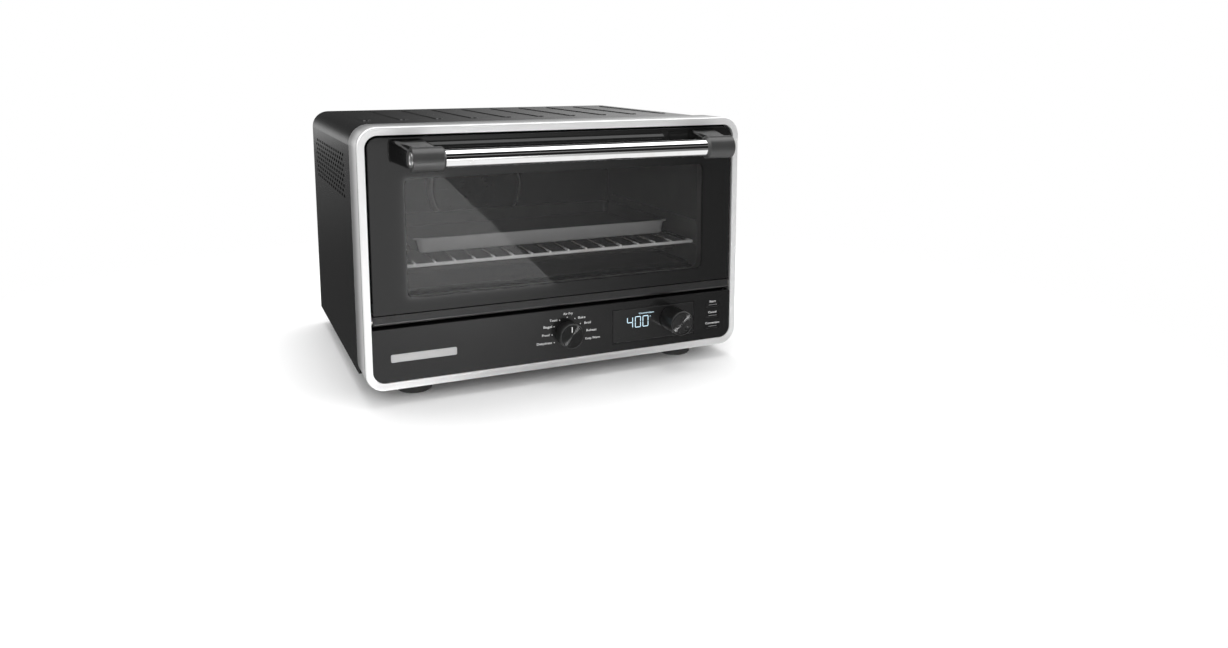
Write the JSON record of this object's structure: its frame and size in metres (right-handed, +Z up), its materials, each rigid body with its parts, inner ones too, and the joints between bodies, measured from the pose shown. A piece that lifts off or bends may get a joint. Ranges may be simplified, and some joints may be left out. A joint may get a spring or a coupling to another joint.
{
  "type": "toaster oven",
  "caption": "Countertop toaster oven with drop-down glass door, bar handle, control dials, push buttons, display, wire rack, baking pan, crumb tray and convection fan.",
  "frame": {"origin": "on the table under the middle of the whole oven's box, handle and wall spacers included", "axes": "+Z up, the door and controls face -Y, +X to the right as seen by a person in front"},
  "size_m": [0.435, 0.4252, 0.2872],
  "materials": {
    "satin_black_steel": "fine satin black powder coat on pressed steel",
    "bright_aluminium": "satin-bright die-cast aluminium",
    "polished_chrome": "polished chrome",
    "black_plastic": "fine-textured black moulded plastic",
    "gloss_black_panel": "semi-gloss black moulded panel",
    "tinted_glass": "toughened glass with a black printed border",
    "clear_glass": "toughened inner glass",
    "knob_black": "black knob with a spun metal face",
    "cavity_enamel": "dark non-stick coating",
    "plated_steel": "zinc plated pressed steel",
    "bright_wire": "bright plated wire",
    "heater_sheath": "oxidised metal sheath",
    "white_ceramic": "glazed white ceramic",
    "board_green": "circuit board laminate",
    "foot_rubber": "black rubber",
    "pan_coating": "grey non-stick coating"
  },
  "bodies": {
    "oven": {"front_bezel": "bright_aluminium", "outer_wrap": "satin_black_steel", "rear_cover": "satin_black_steel", "cover_screws": "plated_steel", "rear_spacers": "black_plastic", "cord_gland": "black_plastic", "base_pan": "plated_steel", "foot_front_left": "foot_rubber", "foot_front_right": "foot_rubber", "foot_rear_left": "foot_rubber", "foot_rear_right": "foot_rubber", "foot_screws": "plated_steel", "cavity_left_wall": "cavity_enamel", "cavity_right_wall": "cavity_enamel", "cavity_roof": "cavity_enamel", "cavity_floor": "cavity_enamel", "cavity_rear_wall": "cavity_enamel", "cavity_front_flange": "cavity_enamel", "fan_cover": "cavity_enamel", "upper_heaters": "heater_sheath", "lower_heaters": "heater_sheath", "heater_insulators": "white_ceramic", "temperature_probe": "plated_steel", "thermal_cutout": "plated_steel", "fan_motor": "plated_steel", "motor_bracket": "plated_steel", "hinge_bracket_left": "plated_steel", "hinge_bracket_right": "plated_steel", "control_fascia": "gloss_black_panel", "display_window": "tinted_glass", "display_module": "black_plastic", "nameplate": "bright_aluminium", "control_board": "board_green", "mode_encoder": "plated_steel", "temp_encoder": "plated_steel", "button_switches": "black_plastic", "power_board": "board_green"},
    "door": {"door_glass_outer": "tinted_glass", "door_glass_inner": "clear_glass", "door_frame": "satin_black_steel", "door_rail": "gloss_black_panel", "handle_bar": "polished_chrome", "handle_bracket_left": "black_plastic", "handle_bracket_right": "black_plastic", "handle_medallions": "bright_aluminium", "handle_screws": "plated_steel", "hinge_pins": "plated_steel", "door_springs": "plated_steel"},
    "rack": {"wire_rack": "bright_wire", "baking_pan": "pan_coating"},
    "crumb_tray": {"crumb_tray": "plated_steel"},
    "mode_knob": {"mode_knob": "knob_black", "mode_shaft": "plated_steel"},
    "temp_rotor": {"temp_rotor": "plated_steel"},
    "temp_knob": {"temp_knob": "knob_black", "temp_shaft": "plated_steel"},
    "start_button": {"start_button": "black_plastic"},
    "cancel_button": {"cancel_button": "black_plastic"},
    "convection_button": {"convection_button": "black_plastic"},
    "fan": {"fan_wheel": "plated_steel"}
  },
  "joints": [
    {"name": "door_hinge", "type": "hinge", "parent": "oven", "child": "door", "pos_m": [0, -0.1424, 0.0905], "axis": [1, 0, 0], "range_deg": [0, 90], "stiffness_Nm_per_rad": 0.7, "springref_deg": -28.65},
    {"name": "rack_slide", "type": "slide", "parent": "oven", "child": "rack", "axis": [0, -1, 0], "range_m": [0, 0.101]},
    {"name": "crumb_tray_slide", "type": "slide", "parent": "oven", "child": "crumb_tray", "axis": [0, -1, 0], "range_m": [0, 0.048]},
    {"name": "mode_knob_turn", "type": "hinge", "parent": "oven", "child": "mode_knob", "pos_m": [0.0022, -0.1564, 0.0537], "axis": [0, 1, 0], "range_deg": [-120, 120]},
    {"name": "temp_knob_turn", "type": "hinge", "parent": "oven", "child": "temp_rotor", "pos_m": [0.1305, -0.1414, 0.057], "axis": [0, 1, 0], "continuous": true},
    {"name": "temp_knob_push", "type": "slide", "parent": "temp_rotor", "child": "temp_knob", "axis": [0, 1, 0], "range_m": [0, 0.0015], "stiffness_N_per_m": 800},
    {"name": "start_button_press", "type": "slide", "parent": "oven", "child": "start_button", "axis": [0, 1, 0], "range_m": [0, 0.001], "stiffness_N_per_m": 1000},
    {"name": "cancel_button_press", "type": "slide", "parent": "oven", "child": "cancel_button", "axis": [0, 1, 0], "range_m": [0, 0.001], "stiffness_N_per_m": 1000},
    {"name": "convection_button_press", "type": "slide", "parent": "oven", "child": "convection_button", "axis": [0, 1, 0], "range_m": [0, 0.001], "stiffness_N_per_m": 1000},
    {"name": "fan_spin", "type": "hinge", "parent": "oven", "child": "fan", "pos_m": [-0.016, 0.1496, 0.1835], "axis": [0, 1, 0], "continuous": true}
  ],
  "couplings": [
    {"joint": "rack_slide", "follows": "door_hinge", "m_per_rad": 0.064},
    {"joint": "crumb_tray_slide", "follows": "door_hinge", "m_per_rad": 0.03}
  ]
}
